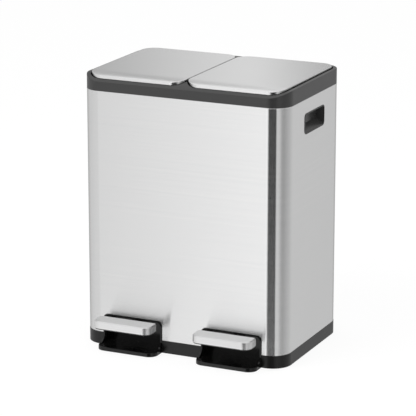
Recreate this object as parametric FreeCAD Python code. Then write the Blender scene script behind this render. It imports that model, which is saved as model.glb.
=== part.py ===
import FreeCAD, Part
import math
import os

# Double recycling bin: a brushed-steel body on a moulded base, closed by a moulded collar that
# carries two lids. Each lid is opened by its own pedal, through a lever under the inner floor
# and a push rod up the back. Millimetres, +Z up. The pieces are drawn about the middle of the
# steel body, with the front at -Y, and moved at the end so that the origin is the middle of
# the whole part's footprint, on the ground.

Vector = FreeCAD.Vector

# ---- steel body -----------------------------------------------------------------------------
BODY_WIDTH = 516.0
BODY_DEPTH = 344.0
CORNER_RADIUS = 46.0
SHEET = 0.8  # steel of the body and of the lid covers
STEEL_TOP = 615.0  # upper edge of the steel, where the collar starts
SEAM_SLIT = 0.4  # between the two edges of the wrapped sheet, at the back
SEAM_STRIP_WIDTH = 24.0
SEAM_STRIP_GAP = 0.3  # from the ends of the strip to the base and the collar
CURVE_GAP = 0.3  # between curved faces that lie inside each other

# ---- collar ---------------------------------------------------------------------------------
RIM_HEIGHT = 35.5  # above the steel, at the sides and the back
RIM_WIDTH = 9.0
RIM_SOFTNESS = 0.8  # rounding of the rim's outer edge
COLLAR_WALL = 3.0
RECESS_WALL = 2.5
SEAT_DROP = 10.0  # from the rim down to the seat that the lids close on
SEAT_WIDTH = 11.0  # seat left beside each bucket opening
BRIDGE_WIDTH = 24.0  # between the two bucket openings
OPENING_CORNER = 28.0
OPENING_WALL = 2.5  # skirt round each bucket opening
OPENING_WALL_DEPTH = 40.5  # how far that skirt hangs below the seat
COLLAR_SKIRT = 18.0  # how far the collar reaches down inside the steel
TROUGH_WIDTH = 59.0  # trough for the hinges, front to back
TROUGH_DROP = 27.0  # from the hinge axis down to the trough's floor

# ---- lids -----------------------------------------------------------------------------------
LID_STANDS = 5.0  # above the rim
LID_GAP = 3.0  # all round each lid, and between the two
BROW_RADIUS = 90.0  # the lids and the collar roll down along the front on this radius
BROW_BACK = 46.0  # from the front of the body to where the roll starts
FLANGE_DEPTH = 6.5  # turned-down edge of the lid's steel
LID_SOFTNESS = 1.2  # rounding of the steel lid's edge
FRAME_CLEARANCE = 0.2  # between the lid's steel and its frame
FRAME_PLATE = 3.0
FRAME_WALL = 2.5
FRAME_DEPTH = 12.0  # from the lid's top down to the frame's lower edge
FRAME_BACK_CUT = 28.0  # the frame has no wall over this stretch at its back
RIB_WIDTH = 2.0
RIB_DEPTH = 5.0
RIB_SPREAD = 30.0  # from the crank to the long ribs beside it
CROSS_RIBS = 3
CROSS_RIB_FIRST = 85.0  # from the lid's front edge
CROSS_RIB_PITCH = 85.0
BUMPER_RADIUS = 3.0
BUMPER_GAP = 0.3  # between the rubber and the seat
BUMPER_FRONT = 60.0  # from the lid's front edge
BUMPER_BACK = 100.0  # from the lid's back edge

# ---- hinges ---------------------------------------------------------------------------------
HINGE_X = 127.0  # middle of a lid's hinge, its rod, its pedal and its lever
HINGE_INSET = 20.0  # from the lid's back edge to the hinge axis
HINGE_DROP = 6.5  # from the lid's top to the hinge axis
OPEN_ANGLE = 78.0
PIN_RADIUS = 2.0
PIN_END = 0.5  # pin past its last ear, opposite its head
PIN_HEAD_RADIUS = 3.2
PIN_HEAD = 1.0
FIXED_FIT = 0.03  # between a pin and what holds it fast
RUNNING_FIT = 0.05  # between a pin and what turns on it
KNUCKLE_RADIUS = 4.5
KNUCKLE_WIDTH = 12.0
KNUCKLE_SPREAD = 52.0  # from the middle of the hinge to each knuckle
EAR_GAP = 1.0
NOTCH_GAP = 1.0  # round each ear, in the lid's frame
BRACKET_SHEET = 2.0
BRACKET_WIDTH = 140.0
BRACKET_DEPTH = 20.0
CRANK_RADIUS = 26.5  # from the hinge axis to the lug that the rod lifts
CRANK_WIDTH = 10.0
LUG_RADIUS = 3.0
HINGE_SCREW_SPREAD = 25.0
SCREW_RADIUS = 2.0
SCREW_HEAD_RADIUS = 4.0
SCREW_HEAD = 2.5
SCREW_LENGTH = 8.0
SCREW_CLEARANCE = 0.2
BOSS_RADIUS = 4.5
BOSS_DEPTH = 8.0

# ---- push rods ------------------------------------------------------------------------------
ROD_RADIUS = 3.0
ROD_FIT = 0.08
ROD_LUG_GAP = 0.8  # under the lug when the lid is shut
ROD_LEVER_GAP = 0.6  # over the lever when the pedal is up
CAP_RADIUS = 5.0
CAP_THICKNESS = 4.0
BUSH_RADIUS = 6.0
BUSH_FLANGE_RADIUS = 8.0
BUSH_FLANGE = 1.0
BUSH_DEPTH = 7.0
ROD_HOLE_GAP = 1.5  # round the rod, in the inner floor

# ---- pedals and levers ----------------------------------------------------------------------
PEDAL_WIDTH = 148.0
PEDAL_REACH = 66.0  # in front of the steel
PEDAL_STANDOFF = 20.0  # from the steel's face to the back of the tread
PEDAL_TOP = 80.0
PEDAL_SKIRT = 17.5  # depth of the steel tread
PEDAL_FRONT_CORNER = 19.0
PEDAL_BACK_CORNER = 8.0
PEDAL_SOFTNESS = 4.0
PEDAL_SHEET = 1.0
PAD_GAP = 0.2
PAD_SHOWS = 2.5  # plastic core below the steel tread
PAD_WALL = 4.0
PAD_POCKET_TOP = 5.0  # plastic left above the pockets of the core
LEVER_WIDTH = 24.0
LEVER_THICKNESS = 5.0
LEVER_NOSE = 20.0  # lever ends this far behind the tread's front edge
LEVER_TAIL = 9.0  # lever reaches this far past the rod
LEVER_TAIL_HEIGHT = 14.0
LEVER_BEND = 12.0
LEVER_CORNER = 6.0
PIVOT_BACK = 112.0  # pedal axle behind the front of the steel
PIVOT_HEIGHT = 30.0
HUB_RADIUS = 8.0
HUB_WIDTH = 28.0
AXLE_RADIUS = 4.0
AXLE_LENGTH = 48.0
AXLE_HEAD_RADIUS = 6.5
AXLE_HEAD = 2.0
CLIP_RADIUS = 7.0
CLIP_THICKNESS = 1.2
POST_GAP = 1.5  # between the hub and each post
POST_WIDTH = 6.0
POST_DEPTH = 16.0
POST_ABOVE = 10.0  # post above the axle's middle
PAD_SCREW_FRONT = 6.5  # from the lever's nose
PAD_SCREW_PITCH = 11.0
PAD_SCREW_LENGTH = 12.0

# ---- pedal surrounds ------------------------------------------------------------------------
SURROUND_WIDTH = 153.0
SURROUND_TOP = 79.0
SURROUND_CORNER = 13.0
SURROUND_WALL = 3.5
SURROUND_PROUD = 2.0  # in front of the steel
SURROUND_DEPTH = 30.0  # behind the steel's face
SURROUND_BACK_WALL = 3.0
TRAY_REACH = 45.0  # in front of the steel
TRAY_TOP = 11.0
TRAY_PLATE = 3.0
TRAY_CORNER = 22.0
TRAY_SOFTNESS = 2.0
CHEEK_RADIUS = 26.0
SLOT_WIDTH = 30.0
SLOT_BOTTOM = 30.0
SLOT_TOP = 64.0
CUTOUT_LAP = 1.5  # surrounds and grips cover the edges of their cut-outs by this much

# ---- base and inner floor -------------------------------------------------------------------
GROUND_GAP = 2.0  # under the plastic of the base
BASE_TOP = 32.5
BASE_PROUD = 0.5
BASE_WALL = 3.0
BASE_SOFTNESS = 0.4
BASE_FLOOR_BOTTOM = 4.0
BASE_FLOOR = 3.0
UPSTAND_TOP = 50.0
UPSTAND_WALL = 2.5
PIECE_GAP = 0.3  # between the surrounds and the base
FOOT_RADIUS = 13.0
FOOT_SIDE_X = 215.0
FOOT_FRONT_Y = -125.0
FOOT_BACK_Y = 130.0
FLOOR_TOP = 62.0
FLOOR_PLATE = 3.0
FLOOR_INSET = 5.0
FLOOR_LEG = 3.0
FLOOR_FRONT_GAP = 3.0  # behind the surrounds
FLOOR_RIB = 3.0
LEVER_SLOT_GAP = 4.0
BASE_SCREW_X = 225.0
BASE_SCREW_FRONT_Y = -98.0
BASE_SCREW_BACK_Y = 96.0
BASE_SCREW_LENGTH = 16.0
BASE_SCREW_HEAD = 1.6
FLOOR_BOSS_RADIUS = 5.0

# ---- buckets --------------------------------------------------------------------------------
BUCKET_GAP = 3.0  # round the bucket's rim, in the collar's opening
BUCKET_DROP = 15.5  # from the seat down to the bucket's rim
BUCKET_FLANGE = 5.0
BUCKET_FLANGE_THICKNESS = 3.0
BUCKET_TAPER = 7.0  # each side draws in this much towards the bottom
BUCKET_WALL = 2.5
BUCKET_BOTTOM = 3.0
BUCKET_SLOT_WIDTH = 90.0
BUCKET_SLOT_HEIGHT = 25.0
BUCKET_SLOT_CORNER = 8.3
BUCKET_SLOT_DROP = 22.0

# ---- side grips -----------------------------------------------------------------------------
GRIP_WIDTH = 118.0
GRIP_BOTTOM = 533.0
GRIP_TOP = 582.0
GRIP_CORNER = 10.0
GRIP_BEZEL = 3.0
GRIP_PROUD = 0.8
GRIP_DEPTH = 19.0  # from the steel's face to the back of the pocket
GRIP_WALL = 2.0
GRIP_LIP = 6.0  # fingers reach up behind this lip
GRIP_UNDERCUT = 11.0  # how far up
GRIP_FLOOR_RISE = 14.0  # the pocket's floor climbs this much towards its back
NECK_WALL = 1.2

# ---- worked out from the above --------------------------------------------------------------
HALF_WIDTH = BODY_WIDTH / 2
FRONT = -BODY_DEPTH / 2
BACK = BODY_DEPTH / 2
RIM_TOP = STEEL_TOP + RIM_HEIGHT
LID_TOP = RIM_TOP + LID_STANDS
SEAT_TOP = RIM_TOP - SEAT_DROP
BROW_START = FRONT + BROW_BACK

LID_INNER = LID_GAP / 2
LID_OUTER = HALF_WIDTH - RIM_WIDTH - LID_GAP
LID_FRONT = FRONT + RIM_WIDTH + LID_GAP
LID_BACK = BACK - RIM_WIDTH - LID_GAP
LID_CORNER = CORNER_RADIUS - RIM_WIDTH - LID_GAP
FRAME_INSET = SHEET + FRAME_CLEARANCE
FRAME_TOP = LID_TOP - FRAME_INSET
FRAME_LOW = LID_TOP - FRAME_DEPTH

HINGE_Y = LID_BACK - HINGE_INSET
HINGE_Z = LID_TOP - HINGE_DROP
TROUGH_TOP = HINGE_Z - TROUGH_DROP
TROUGH_BOTTOM = TROUGH_TOP - COLLAR_WALL
EAR_OFFSET = KNUCKLE_WIDTH / 2 + EAR_GAP + BRACKET_SHEET / 2
PIN_HALF = KNUCKLE_SPREAD + EAR_OFFSET + BRACKET_SHEET / 2
BRACKET_TOP = TROUGH_TOP + BRACKET_SHEET

OPENING_INNER = BRIDGE_WIDTH / 2
OPENING_OUTER = HALF_WIDTH - RIM_WIDTH - SEAT_WIDTH
OPENING_FRONT = FRONT + RIM_WIDTH + SEAT_WIDTH
OPENING_BACK = BACK - RIM_WIDTH - TROUGH_WIDTH
SKIRT_INSET = SHEET + CURVE_GAP
SKIRT_BOTTOM = STEEL_TOP - COLLAR_SKIRT

LUG_ANGLE = math.radians(OPEN_ANGLE / 2)
LUG_Y = HINGE_Y - CRANK_RADIUS * math.cos(LUG_ANGLE)
LUG_Z = HINGE_Z - CRANK_RADIUS * math.sin(LUG_ANGLE)
ROD_Y = HINGE_Y - CRANK_RADIUS * (1 + math.cos(LUG_ANGLE)) / 2
CAP_TOP = LUG_Z - LUG_RADIUS - ROD_LUG_GAP
ROD_TOP = CAP_TOP - CAP_THICKNESS

PIVOT_Y = FRONT + PIVOT_BACK
PAD_BOTTOM = PEDAL_TOP - PEDAL_SKIRT - PAD_SHOWS
LEVER_FRONT_Z = PAD_BOTTOM - LEVER_THICKNESS / 2
LEVER_FRONT_Y = FRONT - PEDAL_REACH + LEVER_NOSE
LEVER_KNEE_Z = PIVOT_HEIGHT + HUB_RADIUS
LEVER_TAIL_Y = ROD_Y + LEVER_TAIL
LEVER_SLOPE = (LEVER_KNEE_Z - LEVER_TAIL_HEIGHT) / (LEVER_TAIL_Y - PIVOT_Y)
ROD_BOTTOM = LEVER_TAIL_HEIGHT + LEVER_SLOPE * LEVER_TAIL + LEVER_THICKNESS / 2 + ROD_LEVER_GAP

SURROUND_FRONT = FRONT - SURROUND_PROUD
SURROUND_BACK = FRONT + SURROUND_DEPTH
TRAY_FRONT = FRONT - TRAY_REACH
BASE_FLOOR_TOP = BASE_FLOOR_BOTTOM + BASE_FLOOR
FLOOR_FRONT = SURROUND_BACK + FLOOR_FRONT_GAP
FLOOR_UNDER = FLOOR_TOP - FLOOR_PLATE

BUCKET_RIM = SEAT_TOP - BUCKET_DROP
ORIGIN_SHIFT = Vector(0, (PEDAL_REACH - BASE_PROUD) / 2, 0)

# Cutting shapes run this far past what they cut, and half-spaces reach this far.
PAST = 5.0
FAR = BODY_WIDTH + BODY_DEPTH


# ---- shapes used throughout -----------------------------------------------------------------
def rounded_face(corners, place):
    """Face inside a closed outline of (u, v, radius) corners; place(u, v) is a point in space."""
    ends = []
    arcs = []
    for index, (u, v, radius) in enumerate(corners):
        corner = Vector(u, v, 0)
        last = Vector(*corners[index - 1][:2], 0)
        following = Vector(*corners[(index + 1) % len(corners)][:2], 0)
        if radius <= 0:
            ends.append((corner, corner))
            continue
        to_last = (last - corner).normalize()
        to_next = (following - corner).normalize()
        half_turn = to_last.getAngle(to_next) / 2
        inward = (to_last + to_next).normalize()
        reach = radius / math.tan(half_turn)
        middle = corner + inward * (radius / math.sin(half_turn) - radius)
        start, end = corner + to_last * reach, corner + to_next * reach
        ends.append((start, end))
        points = [place(point.x, point.y) for point in (start, middle, end)]
        arcs.append(Part.Arc(*points).toShape())
    runs = []
    for index, (start, _) in enumerate(ends):
        before = ends[index - 1][1]
        if before.distanceToPoint(start) > Part.Precision.confusion() * PAST:
            run = Part.LineSegment(place(before.x, before.y), place(start.x, start.y))
            runs.append(run.toShape())
    return Part.Face(Part.Wire(Part.__sortEdges__(runs + arcs)))


def plan_prism(corners, bottom, top):
    """Upright prism on an outline of (x, y, radius) corners."""
    face = rounded_face(corners, lambda x, y: Vector(x, y, bottom))
    return face.extrude(Vector(0, 0, top - bottom))


def side_prism(corners, near, far):
    """Prism along X on an outline of (y, z, radius) corners."""
    face = rounded_face(corners, lambda y, z: Vector(near, y, z))
    return face.extrude(Vector(far - near, 0, 0))


def front_prism(corners, near, far):
    """Prism along Y on an outline of (x, z, radius) corners."""
    face = rounded_face(corners, lambda x, z: Vector(x, near, z))
    return face.extrude(Vector(0, far - near, 0))


def rectangle(left, right, low, high, radius=0.0, high_radius=None):
    """Corners of a rectangle, the lower edge first."""
    upper = radius if high_radius is None else high_radius
    return [(left, low, radius), (right, low, radius), (right, high, upper), (left, high, upper)]


def box(left, right, front, back, bottom, top):
    return Part.makeBox(right - left, back - front, top - bottom, Vector(left, front, bottom))


def disc(radius, x, y, bottom, top):
    return Part.makeCylinder(radius, top - bottom, Vector(x, y, bottom))


def crosswise(radius, left, right, y, z):
    """Cylinder along X."""
    return Part.makeCylinder(radius, right - left, Vector(left, y, z), Vector(1, 0, 0))


def mirrored(shape):
    return shape.mirror(Vector(0, 0, 0), Vector(1, 0, 0))


def both(shape):
    """A shape on the right and its mirror image on the left, as one."""
    return Part.makeCompound([shape, mirrored(shape)])


def body_outline(inset):
    """Outline of the steel body, moved inwards."""
    return rectangle(-HALF_WIDTH + inset, HALF_WIDTH - inset, FRONT + inset, BACK - inset,
                     CORNER_RADIUS - inset)


def body_prism(inset, bottom, top):
    return plan_prism(body_outline(inset), bottom, top)


def body_ring(outside, inside, bottom, top):
    """Upright wall round the body between two insets."""
    return body_prism(outside, bottom, top).cut(body_prism(inside, bottom - PAST, top + PAST))


def below_brow(top):
    """All space below a surface that is level at top and rolls down at the front."""
    radius = BROW_RADIUS - (LID_TOP - top)
    front = BROW_START - radius
    corners = [(front, -FAR, 0), (FAR, -FAR, 0), (FAR, top, 0), (front, top, radius)]
    return side_prism(corners, -FAR, FAR)


def softened(shape, radius, chosen):
    """Shape with the edges for which chosen(middle, edge) holds rounded."""
    edges = []
    for edge in shape.Edges:
        middle = edge.valueAt((edge.FirstParameter + edge.LastParameter) / 2)
        if chosen(middle, edge):
            edges.append(edge)
    return shape.makeFillet(radius, edges)


def near(value, target):
    return abs(value - target) < CURVE_GAP


def is_brow_edge(middle, edge):
    """Edge round the top surface, but not the line across it where the roll begins."""
    across = near(middle.y, BROW_START) and edge.Length > BROW_BACK
    low = edge.BoundBox.ZMin < RIM_TOP - BROW_BACK / 2
    return not across and not low


# ---- body -----------------------------------------------------------------------------------
def grip_cutout():
    """Hole in the steel for the right grip."""
    half = GRIP_WIDTH / 2 - CUTOUT_LAP
    corners = rectangle(-half, half, GRIP_BOTTOM + CUTOUT_LAP, GRIP_TOP - CUTOUT_LAP,
                        GRIP_CORNER - CUTOUT_LAP)
    return side_prism(corners, HALF_WIDTH - PAST, HALF_WIDTH + PAST)


def arch_cutout():
    """Hole in the steel for the right pedal surround."""
    half = SURROUND_WIDTH / 2 - CUTOUT_LAP
    corners = rectangle(HINGE_X - half, HINGE_X + half, BASE_TOP - PAST,
                        SURROUND_TOP - CUTOUT_LAP, 0, SURROUND_CORNER - CUTOUT_LAP)
    return front_prism(corners, FRONT - PAST, FRONT + PAST)


def steel_shell():
    """Sheet wrapped round the body, with its joint in the middle of the back."""
    shell = body_ring(0, SHEET, BASE_TOP, STEEL_TOP)
    slit = box(-SEAM_SLIT / 2, SEAM_SLIT / 2, BACK - PAST, BACK + PAST, 0, STEEL_TOP + PAST)
    return shell.cut(both(grip_cutout())).cut(both(arch_cutout())).cut(slit)


def rear_seam_strip():
    """Strip inside the sheet's joint, between the base and the collar."""
    half = SEAM_STRIP_WIDTH / 2
    return box(-half, half, BACK - 2 * SHEET, BACK - SHEET, UPSTAND_TOP + SEAM_STRIP_GAP,
               SKIRT_BOTTOM - SEAM_STRIP_GAP)


# ---- collar ---------------------------------------------------------------------------------
def lid_outline(inset):
    """Outline of the right lid, moved inwards."""
    return rectangle(LID_INNER + inset, LID_OUTER - inset, LID_FRONT + inset, LID_BACK - inset,
                     LID_CORNER - inset)


def lid_pockets(grow):
    """Recesses that the two lids close into, grown by so much."""
    pocket = plan_prism(lid_outline(-LID_GAP - grow), SKIRT_BOTTOM - PAST, LID_TOP + PAST)
    return pocket.fuse(mirrored(pocket))


def opening_outline(inset):
    """Outline of the right bucket opening, moved inwards."""
    return rectangle(OPENING_INNER + inset, OPENING_OUTER - inset, OPENING_FRONT + inset,
                     OPENING_BACK - inset, OPENING_CORNER - inset)


def collar_rim():
    """Outer wall, level rim, recess wall, hollow from below, and the skirt inside the steel."""
    wall = body_ring(0, COLLAR_WALL, STEEL_TOP, RIM_TOP)
    top = body_ring(0, RIM_WIDTH, TROUGH_BOTTOM, RIM_TOP).cut(below_brow(RIM_TOP - COLLAR_WALL))
    recess = body_ring(RIM_WIDTH - RECESS_WALL, RIM_WIDTH, TROUGH_BOTTOM, RIM_TOP)
    skirt = body_ring(SKIRT_INSET, SKIRT_INSET + COLLAR_WALL, SKIRT_BOTTOM,
                      STEEL_TOP + COLLAR_WALL)
    outside = body_prism(0, SKIRT_BOTTOM, RIM_TOP).common(below_brow(RIM_TOP))
    outside = softened(outside, RIM_SOFTNESS, is_brow_edge)
    return wall.fuse([top, recess, skirt]).common(outside)


def collar_tongues():
    """Tips of the rim between the rounded corners of the lids, hollow from below."""
    inside = RIM_WIDTH - RECESS_WALL / 2
    solid = body_prism(inside, TROUGH_BOTTOM, RIM_TOP).common(below_brow(RIM_TOP))
    hollow = body_prism(RIM_WIDTH, SKIRT_BOTTOM, RIM_TOP).common(
        below_brow(RIM_TOP - COLLAR_WALL))
    return solid.cut(lid_pockets(0)).cut(hollow.cut(lid_pockets(RECESS_WALL)))


def collar_seat():
    """Level plate under the lids' edges, as far back as the trough for the hinges."""
    inside = RIM_WIDTH - RECESS_WALL / 2
    plate = body_prism(inside, TROUGH_BOTTOM, RIM_TOP).common(below_brow(SEAT_TOP))
    plate = plate.cut(below_brow(SEAT_TOP - COLLAR_WALL))
    hollow = body_prism(RIM_WIDTH, SKIRT_BOTTOM, RIM_TOP).cut(lid_pockets(RECESS_WALL))
    behind = box(-FAR, FAR, OPENING_BACK + OPENING_WALL, FAR, 0, FAR)
    return plate.cut(behind).cut(hollow)


def collar_trough():
    """Floor that the hinge brackets are screwed to, with screw bosses under it."""
    inside = RIM_WIDTH - RECESS_WALL / 2
    floor = body_prism(inside, TROUGH_BOTTOM, TROUGH_TOP)
    floor = floor.common(box(-FAR, FAR, OPENING_BACK, FAR, 0, FAR))
    bosses = [disc(BOSS_RADIUS, HINGE_X + side * HINGE_SCREW_SPREAD, HINGE_Y,
                   TROUGH_BOTTOM - BOSS_DEPTH, TROUGH_TOP) for side in (-1, 1)]
    return floor.fuse(bosses + [mirrored(boss) for boss in bosses])


def collar_holes():
    """Bucket opening, bush hole and screw holes on the right."""
    opening = plan_prism(opening_outline(0), SKIRT_BOTTOM - PAST - OPENING_WALL_DEPTH, RIM_TOP)
    holes = [opening, disc(BUSH_RADIUS + FIXED_FIT, HINGE_X, ROD_Y, STEEL_TOP - PAST, RIM_TOP)]
    for side in (-1, 1):
        holes.append(disc(SCREW_RADIUS, HINGE_X + side * HINGE_SCREW_SPREAD, HINGE_Y,
                          BRACKET_TOP - SCREW_LENGTH - PAST, RIM_TOP))
    return Part.makeCompound(holes)


def top_collar():
    """One moulding: rim, seat, trough and the skirts round the bucket openings."""
    skirt = plan_prism(opening_outline(-OPENING_WALL), SEAT_TOP - OPENING_WALL_DEPTH, SEAT_TOP)
    skirt = skirt.common(below_brow(SEAT_TOP))
    collar = collar_rim().fuse([collar_tongues(), collar_seat(), collar_trough(), skirt,
                                mirrored(skirt)])
    collar = collar.cut(both(collar_holes())).removeSplitter()
    return collar


# ---- lids -----------------------------------------------------------------------------------
def lid_skin():
    """Steel cover of the right lid, turned down all round."""
    outside = plan_prism(lid_outline(0), FRAME_LOW - BROW_BACK, LID_TOP)
    outside = outside.common(below_brow(LID_TOP))

    outside = softened(outside, LID_SOFTNESS, is_brow_edge)
    inside = plan_prism(lid_outline(SHEET), FRAME_LOW - BROW_BACK - PAST, LID_TOP)
    inside = inside.common(below_brow(LID_TOP - SHEET))
    return outside.cut(inside).cut(below_brow(LID_TOP - FLANGE_DEPTH))


def lid_ribs():
    """Ribs under the plate of the right lid's frame."""
    end = ROD_Y - CAP_RADIUS - BUSH_FLANGE_RADIUS
    low = FRAME_LOW - BROW_BACK
    ribs = [box(x - RIB_WIDTH / 2, x + RIB_WIDTH / 2, LID_FRONT, end, low, LID_TOP)
            for x in (HINGE_X - RIB_SPREAD, HINGE_X + RIB_SPREAD)]
    for index in range(CROSS_RIBS):
        y = LID_FRONT + CROSS_RIB_FIRST + index * CROSS_RIB_PITCH
        ribs.append(box(LID_INNER, LID_OUTER, y - RIB_WIDTH / 2, y + RIB_WIDTH / 2,
                        FRAME_LOW - BROW_BACK, LID_TOP))
    outside = plan_prism(lid_outline(FRAME_INSET), FRAME_LOW - BROW_BACK, LID_TOP)
    layer = outside.common(below_brow(FRAME_TOP)).cut(
        below_brow(FRAME_TOP - FRAME_PLATE - RIB_DEPTH))
    return [rib.common(layer) for rib in ribs]


def crank_arm():
    """Arm from the hinge down to the lug that the rod lifts.

    Its rear edge runs to the middle of the lug, so that it clears the rod's cap when open.
    """
    left, right = HINGE_X - CRANK_WIDTH / 2, HINGE_X + CRANK_WIDTH / 2
    across = Vector(0, -math.sin(LUG_ANGLE), math.cos(LUG_ANGLE))
    hinge, lug = Vector(0, HINGE_Y, HINGE_Z), Vector(0, LUG_Y, LUG_Z)
    points = (hinge + across * KNUCKLE_RADIUS, lug + across * LUG_RADIUS, lug,
              hinge - across * KNUCKLE_RADIUS)
    arm = side_prism([(point.y, point.z, 0) for point in points], left, right)
    return arm.fuse([crosswise(KNUCKLE_RADIUS, left, right, HINGE_Y, HINGE_Z),
                     crosswise(LUG_RADIUS, left, right, LUG_Y, LUG_Z)])


def lid_frame():
    """Moulded inner lid on the right, with the hinge knuckles and the crank in one piece."""
    wall_inset = FRAME_INSET + FRAME_WALL
    outside = plan_prism(lid_outline(FRAME_INSET), FRAME_LOW - BROW_BACK, LID_TOP)
    inside = plan_prism(lid_outline(wall_inset), FRAME_LOW - BROW_BACK - PAST, LID_TOP)
    frame = outside.common(below_brow(FRAME_TOP))
    frame = frame.cut(inside.common(below_brow(FRAME_TOP - FRAME_PLATE)))
    frame = frame.cut(below_brow(FRAME_LOW))
    frame = frame.cut(box(0, HALF_WIDTH, LID_BACK - FRAME_BACK_CUT, BACK, FRAME_LOW - PAST,
                          FRAME_TOP - FRAME_PLATE))
    added = lid_ribs() + [crank_arm()]
    notches = []
    for side in (-1, 1):
        middle = HINGE_X + side * KNUCKLE_SPREAD
        half = KNUCKLE_WIDTH / 2
        added.append(crosswise(KNUCKLE_RADIUS, middle - half, middle + half, HINGE_Y, HINGE_Z))
        for edge in (-1, 1):
            inside = middle + edge * half
            outside = middle + edge * (EAR_OFFSET + BRACKET_SHEET / 2 + PIN_HEAD + EAR_GAP)
            notches.append(crosswise(KNUCKLE_RADIUS + NOTCH_GAP, min(inside, outside),
                                     max(inside, outside), HINGE_Y, HINGE_Z))
    bore = crosswise(PIN_RADIUS + RUNNING_FIT, HINGE_X - PIN_HALF, HINGE_X + PIN_HALF,
                     HINGE_Y, HINGE_Z)
    return frame.fuse(added).cut(Part.makeCompound(notches)).cut(bore).removeSplitter()


def lid_bumpers():
    """Rubber buffers under the right lid's frame."""
    middle = FRAME_INSET + FRAME_WALL / 2
    bumpers = []
    for x in (LID_INNER + middle, LID_OUTER - middle):
        for y in (LID_FRONT + BUMPER_FRONT, LID_BACK - BUMPER_BACK):
            bumpers.append(disc(BUMPER_RADIUS, x, y, SEAT_TOP + BUMPER_GAP, FRAME_LOW))
    return Part.makeCompound(bumpers)


# ---- hinges ---------------------------------------------------------------------------------
def hinge_bracket():
    """Folded steel bracket on the floor of the trough, with four ears for the pin."""
    half = BRACKET_WIDTH / 2
    bracket = box(HINGE_X - half, HINGE_X + half, HINGE_Y - BRACKET_DEPTH / 2,
                  HINGE_Y + BRACKET_DEPTH / 2, TROUGH_TOP, BRACKET_TOP)
    ears = []
    for side in (-1, 1):
        for edge in (-1, 1):
            middle = HINGE_X + side * KNUCKLE_SPREAD + edge * EAR_OFFSET
            left, right = middle - BRACKET_SHEET / 2, middle + BRACKET_SHEET / 2
            ears.append(crosswise(KNUCKLE_RADIUS, left, right, HINGE_Y, HINGE_Z))
            ears.append(box(left, right, HINGE_Y - KNUCKLE_RADIUS, HINGE_Y, TROUGH_TOP, HINGE_Z))
    pin_hole = crosswise(PIN_RADIUS + FIXED_FIT, HINGE_X - PIN_HALF - PAST,
                         HINGE_X + PIN_HALF + PAST, HINGE_Y, HINGE_Z)
    screw_holes = [disc(SCREW_RADIUS + SCREW_CLEARANCE, HINGE_X + side * HINGE_SCREW_SPREAD,
                        HINGE_Y, TROUGH_TOP - PAST, BRACKET_TOP + PAST) for side in (-1, 1)]
    return bracket.fuse(ears).cut(Part.makeCompound([pin_hole] + screw_holes)).removeSplitter()


def hinge_pin():
    right = HINGE_X + PIN_HALF
    pin = crosswise(PIN_RADIUS, HINGE_X - PIN_HALF - PIN_END, right, HINGE_Y, HINGE_Z)
    return pin.fuse(crosswise(PIN_HEAD_RADIUS, right, right + PIN_HEAD, HINGE_Y, HINGE_Z))


def screw(x, y, seat, length, head, upwards):
    """Screw whose head bears on the level seat and whose shank runs on from it."""
    way = 1 if upwards else -1
    tip = seat + way * length
    shank = disc(SCREW_RADIUS, x, y, min(seat, tip), max(seat, tip))
    cap = disc(SCREW_HEAD_RADIUS, x, y, min(seat, seat - way * head), max(seat, seat - way * head))
    return shank.fuse(cap)


def hinge_screws():
    screws = [screw(HINGE_X + side * HINGE_SCREW_SPREAD, HINGE_Y, BRACKET_TOP, SCREW_LENGTH,
                    SCREW_HEAD, False) for side in (-1, 1)]
    return Part.makeCompound(screws + [mirrored(one) for one in screws])


# ---- push rods ------------------------------------------------------------------------------
def push_rod():
    return disc(ROD_RADIUS, HINGE_X, ROD_Y, ROD_BOTTOM, ROD_TOP)


def rod_cap():
    """Plastic button on the rod, under the lid's lug."""
    return disc(CAP_RADIUS, HINGE_X, ROD_Y, ROD_TOP, CAP_TOP)


def rod_bush():
    """Flanged bush that guides the rod through the trough's floor."""
    bush = disc(BUSH_RADIUS, HINGE_X, ROD_Y, TROUGH_TOP - BUSH_DEPTH, TROUGH_TOP)
    bush = bush.fuse(disc(BUSH_FLANGE_RADIUS, HINGE_X, ROD_Y, TROUGH_TOP,
                          TROUGH_TOP + BUSH_FLANGE))
    return bush.cut(disc(ROD_RADIUS + ROD_FIT, HINGE_X, ROD_Y, STEEL_TOP - PAST, RIM_TOP))


# ---- pedals ---------------------------------------------------------------------------------
def pedal_outline(inset):
    """Outline of the right tread, moved inwards."""
    half = PEDAL_WIDTH / 2 - inset
    return rectangle(HINGE_X - half, HINGE_X + half, FRONT - PEDAL_REACH + inset,
                     FRONT - PEDAL_STANDOFF - inset, PEDAL_FRONT_CORNER - inset,
                     PEDAL_BACK_CORNER - inset)


def pedal_block(inset, bottom):
    """Right tread as a solid down to a level, moved inwards, with its upper edge rounded."""
    top = PEDAL_TOP - inset
    block = plan_prism(pedal_outline(inset), bottom, top)
    return softened(block, PEDAL_SOFTNESS - inset, lambda middle, edge: near(middle.z, top))


def pedal_cap():
    """Pressed steel tread, open below."""
    bottom = PEDAL_TOP - PEDAL_SKIRT
    return pedal_block(0, bottom).cut(pedal_block(PEDAL_SHEET, bottom - PAST))


def pad_screw_places():
    first = LEVER_FRONT_Y + PAD_SCREW_FRONT
    return (first, first + PAD_SCREW_PITCH)


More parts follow.
